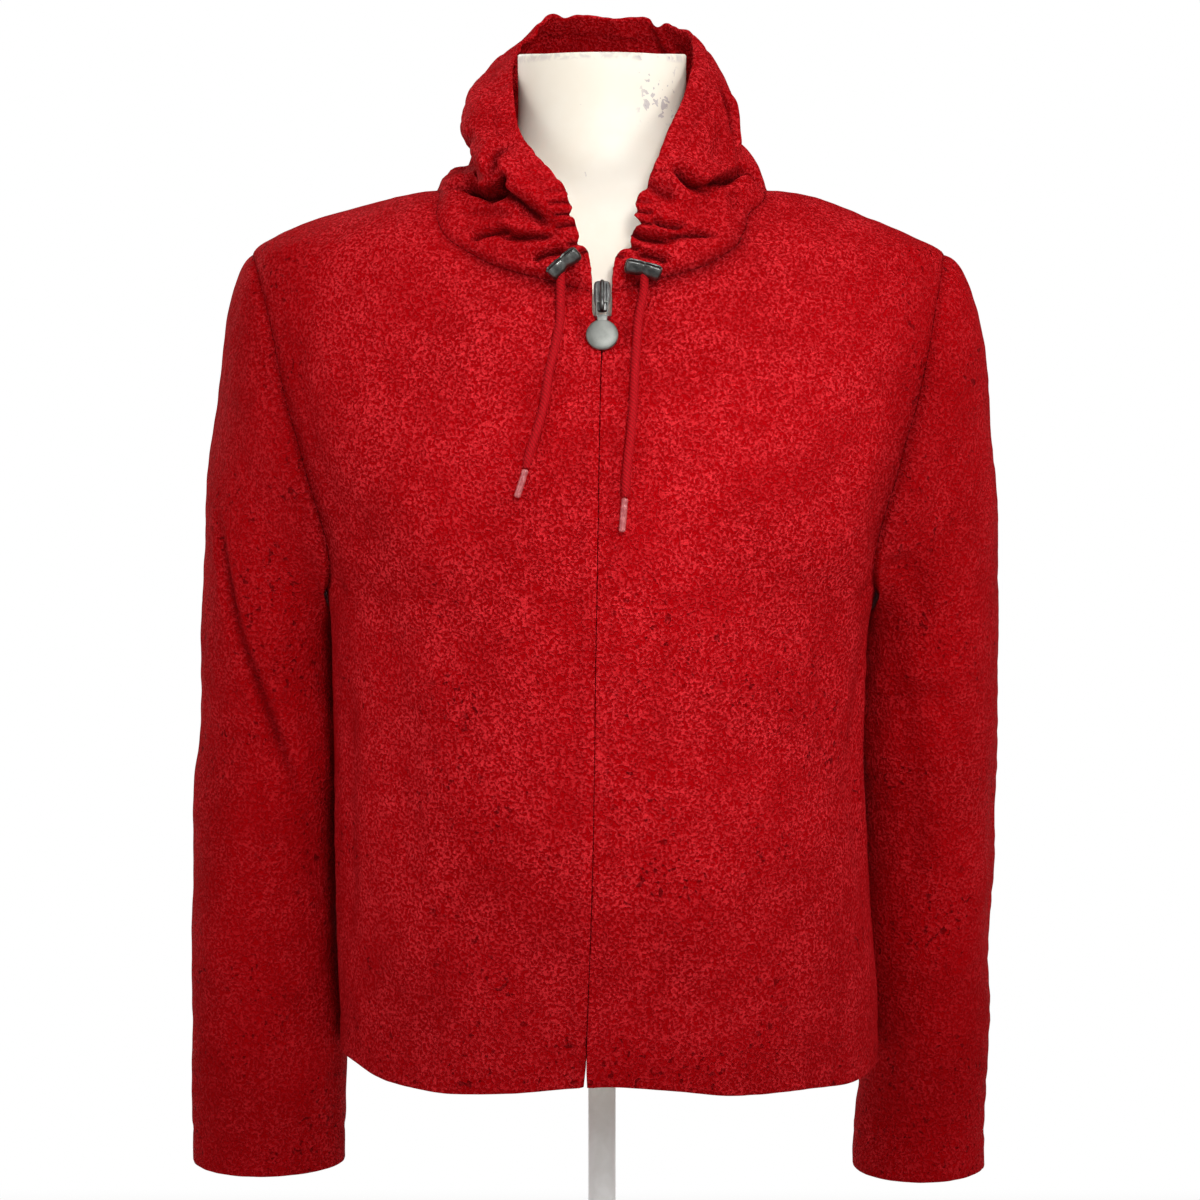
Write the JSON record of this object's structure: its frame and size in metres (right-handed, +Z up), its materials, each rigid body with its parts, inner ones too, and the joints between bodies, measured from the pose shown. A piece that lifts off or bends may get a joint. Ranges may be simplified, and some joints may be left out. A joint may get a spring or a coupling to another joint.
{
  "type": "knit jacket with drawstring collar on torso dress form",
  "caption": "Cropped zip-front knit jacket with set-in sleeves and a gathered drawstring collar, worn by a limbless dress form on a pole and round base.",
  "frame": {"origin": "centre of the underside of the stand's base, which rests on the floor", "axes": "+Z up, the front of the jacket faces -Y, +X is the wearer's left"},
  "size_m": [0.5328, 0.284, 0.8815],
  "materials": {
    "red_knit": "felted knit, pebbled and matte",
    "zip_tape": "woven tape",
    "gunmetal": "satin gunmetal plating",
    "red_cord": "braided cord",
    "cord_tip": "satin translucent tip",
    "form_paint": "cream eggshell paint",
    "stand_paint": "cream enamel"
  },
  "bodies": {
    "root": {"front_left": "red_knit", "front_right": "red_knit", "back": "red_knit", "sleeve_left": "red_knit", "sleeve_right": "red_knit", "collar": "red_knit", "zip_tape_left": "zip_tape", "zip_tape_right": "zip_tape", "zip_chain": "gunmetal", "zip_slider": "gunmetal", "cord_left": "red_cord", "cord_right": "red_cord", "aglet_left": "cord_tip", "aglet_right": "cord_tip", "cord_stop_left": "gunmetal", "cord_stop_right": "gunmetal", "form_torso": "form_paint", "stand_pole": "stand_paint", "stand_base": "stand_paint"},
    "pull": {"zip_pull": "gunmetal"}
  },
  "joints": [
    {"name": "pull_swing", "type": "hinge", "parent": "root", "child": "pull", "pos_m": [0, -0.10744, 0.68437], "axis": [-1, 0, 0], "range_deg": [0, 150]}
  ]
}
